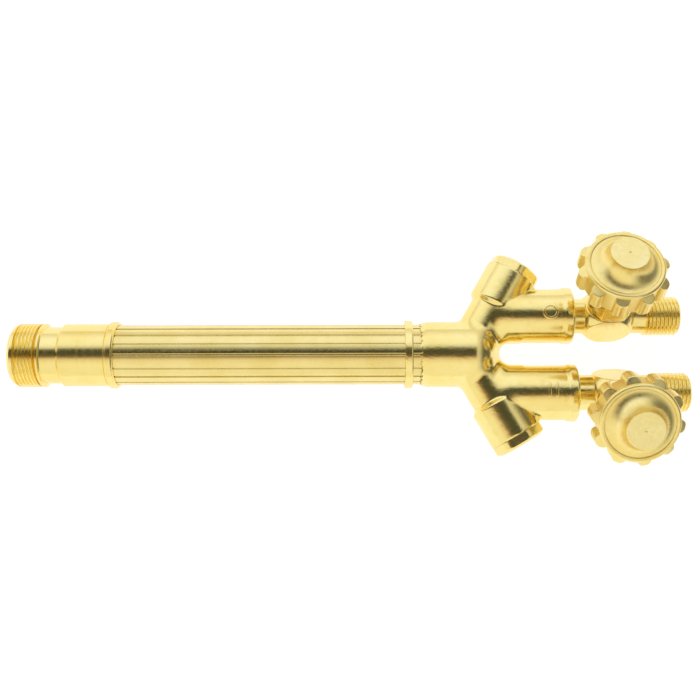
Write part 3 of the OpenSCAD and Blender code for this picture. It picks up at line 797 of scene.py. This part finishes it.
def plain_metal(name, colour, roughness, metallic=1.0, scale=1500, depth=0.000006):
    n = Nodes(name)
    where = n.place()
    n.set("Metallic", metallic)
    cloud = n.noise(where, scale / 8, 3)
    n.set("Base Color", n.mix(n.level(cloud, 0, 1, 0.35, 0.65), colour, tuple(0.8 * c for c in colour)))
    n.set("Roughness", n.level(n.noise(where, scale, 3), roughness * 0.8, roughness * 1.2, 0.3, 0.7))
    n.set("Normal", n.bump(n.noise(where, scale, 4), depth))
    return n.material


def build():
    fit(front_head(), "handle", "front_head", brass("head_turned", 0.17, "turned", HANDLE))
    fit(grip_tube(), "handle", "grip_tube",
        brass("grip_drawn", 0.20, "drawn", pale=(0.92, 0.76, 0.32), deep=(0.86, 0.69, 0.25)))
    forged = brass("yoke_forged", 0.17, "forged", stain=0.45)
    fit(yoke(), "handle", "yoke_body", forged)
    inner = brass("inner_turned", 0.25, "satin")
    satin = brass("knob_satin", 0.34, "satin", stain=0.4)
    faced = brass("button_faced", 0.32, "satin", pale=(0.96, 0.82, 0.38), deep=(0.94, 0.77, 0.30), stain=0.3)
    copper = plain_metal("tube_copper", (0.85, 0.47, 0.30), 0.3)
    steel = plain_metal("spring_steel", (0.62, 0.62, 0.63), 0.3)
    sinter = plain_metal("sintered_steel", (0.35, 0.34, 0.32), 0.65, scale=6000, depth=0.00004)
    rubber = plain_metal("seal_rubber", (0.02, 0.02, 0.02), 0.6, metallic=0.0)
    packing = plain_metal("packing_ptfe", (0.82, 0.82, 0.78), 0.45, metallic=0.0)
    for node in ("oxygen_tube", "fuel_tube"):
        finish_cad_node(node, copper)
    for side in SIDES:
        fit(arm_mark(side), "handle", None, forged)
        fit(arrestor_cap(side), "handle", f"{side}_arrestor_cap",
            brass(f"{side}_cap_turned", 0.2, "turned", BRANCH[side]))
        fit(valve_body(side), "handle", f"{side}_valve_body",
            brass(f"{side}_valve_turned", 0.18, "turned", VALVE[side]))
        fit(packing_nut(side), "handle", f"{side}_packing_nut",
            brass(f"{side}_nut_turned", 0.2, "turned", STEM[side]))
        fit(knob(side), f"{side}_turn", f"{side}_control_knob", satin)
        fit(knob_button(side), f"{side}_turn", f"{side}_knob_insert", faced)
        for part, material in (("cap_seal", rubber), ("flame_filter", sinter), ("filter_seat", inner),
                               ("check_poppet", inner), ("check_spring", steel), ("seat_ball", steel),
                               ("valve_stem", steel), ("packing_ring", packing), ("gland_washer", inner)):
            finish_cad_node(f"{side}_{part}", material)


# ---- camera, light and floor ----

def camera():
    """Stands over the handle, a little towards the fuel side, with a short portrait lens."""
    distance, tilt, pitch, roll = 353.2, math.radians(10.81), math.radians(-0.65), math.radians(0.218)
    middle_x, aim_x, aim_y = 122.1, 8.84, 14.99
    turn = Matrix.Rotation(roll, 3, "Z") @ Matrix.Rotation(-tilt, 3, "X") @ Matrix.Rotation(-pitch, 3, "Y")
    # `turn` takes handle directions to camera directions; its inverse brings the camera back
    back = turn.inverted()
    place = Vector((middle_x, 0, 0)) + back @ Vector((aim_x, aim_y, distance))
    data = bpy.data.cameras.new("camera")
    obj = bpy.data.objects.new("camera", data)
    bpy.context.scene.collection.objects.link(obj)
    obj.matrix_world = Matrix.Translation(place * MM) @ back.to_4x4()
    data.sensor_width = 36
    data.lens = 49.85
    data.shift_x = -0.0383
    data.shift_y = -0.0521
    data.clip_start = 0.01
    bpy.context.scene.camera = obj


# Brightness of the tent by direction round the handle, in degrees from straight up towards +Y
TENT_STRENGTH = 2.0
TENT = (
    (-180, (0.42, 0.42, 0.41)), (-125, (0.46, 0.46, 0.44)), (-100, (0.48, 0.48, 0.46)),
    (-40, (0.50, 0.49, 0.45)), (-24, (0.42, 0.38, 0.32)), (-17, (0.22, 0.14, 0.10)),
    (-13, (0.05, 0.046, 0.036)), (0, (0.032, 0.034, 0.026)), (9, (0.032, 0.034, 0.026)),
    (14, (0.07, 0.07, 0.065)), (20, (0.36, 0.37, 0.39)), (30, (0.50, 0.53, 0.60)),
    (60, (0.54, 0.56, 0.63)), (84, (0.42, 0.41, 0.40)), (112, (0.17, 0.14, 0.11)),
    (150, (0.30, 0.29, 0.27)), (180, (0.42, 0.42, 0.41)),
)


def studio():
    """A white tent all round, with a dark gap overhead that runs along the handle."""
    world = bpy.data.worlds.new("tent")
    bpy.context.scene.world = world
    world.use_nodes = True
    n = Nodes("tent", world.node_tree)
    sky = n.add("ShaderNodeTexCoord").outputs["Generated"]
    parts = n.add("ShaderNodeSeparateXYZ", {0: sky}).outputs
    angle = n.math("ARCTAN2", parts[1], parts[2])
    around = n.math("MULTIPLY_ADD", angle, 1 / (2 * math.pi), 0.5)
    colour = n.ramp(around, [(degrees / 360 + 0.5, tone) for degrees, tone in TENT])
    # the gap overhead stops past the valves, and the tent's open end beyond the hoses is darker
    past_gap = n.add("ShaderNodeMapRange", {0: parts[0], 1: 0.30, 2: 0.46, 3: 0.0, 4: 0.9},
                     interpolation_type="SMOOTHSTEP").outputs[0]
    colour = n.mix(past_gap, colour, (0.40, 0.40, 0.39))
    open_end = n.add("ShaderNodeMapRange", {0: parts[0], 1: 0.48, 2: 0.82, 3: 1.0, 4: 0.18},
                     interpolation_type="SMOOTHSTEP").outputs[0]
    colour = n.add("ShaderNodeVectorMath", {0: colour, 3: open_end}, operation="SCALE").outputs[0]
    background = n.tree.nodes["Background"]
    n.tree.links.new(colour, background.inputs["Color"])
    background.inputs["Strength"].default_value = TENT_STRENGTH


def floor():
    low = node_box("yoke_body")[0][2]
    size = 4000
    verts = [(-size, -size, low), (size, -size, low), (size, size, low), (-size, size, low)]
    plane = mesh_object("floor", verts, [(0, 1, 2, 3)])
    n = Nodes("floor_paper")
    grain = n.noise(n.place(), 400, 3)
    n.set("Base Color", n.mix(n.level(grain, 0, 1, 0.3, 0.7), (0.20, 0.20, 0.20), (0.24, 0.24, 0.24)))
    n.set("Roughness", 0.9)
    n.set("Emission Color", (1, 1, 1, 1))
    n.set("Emission Strength", 0.93)
    plane.data.materials.append(n.material)
    plane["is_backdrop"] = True


build()
camera()
studio()
floor()
bpy.context.scene.view_settings.view_transform = "Standard"

plain = lambda box: [[float(v) for v in corner] for corner in box]
{"cad": plain(CAD_BOX), "visual": plain(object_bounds())}
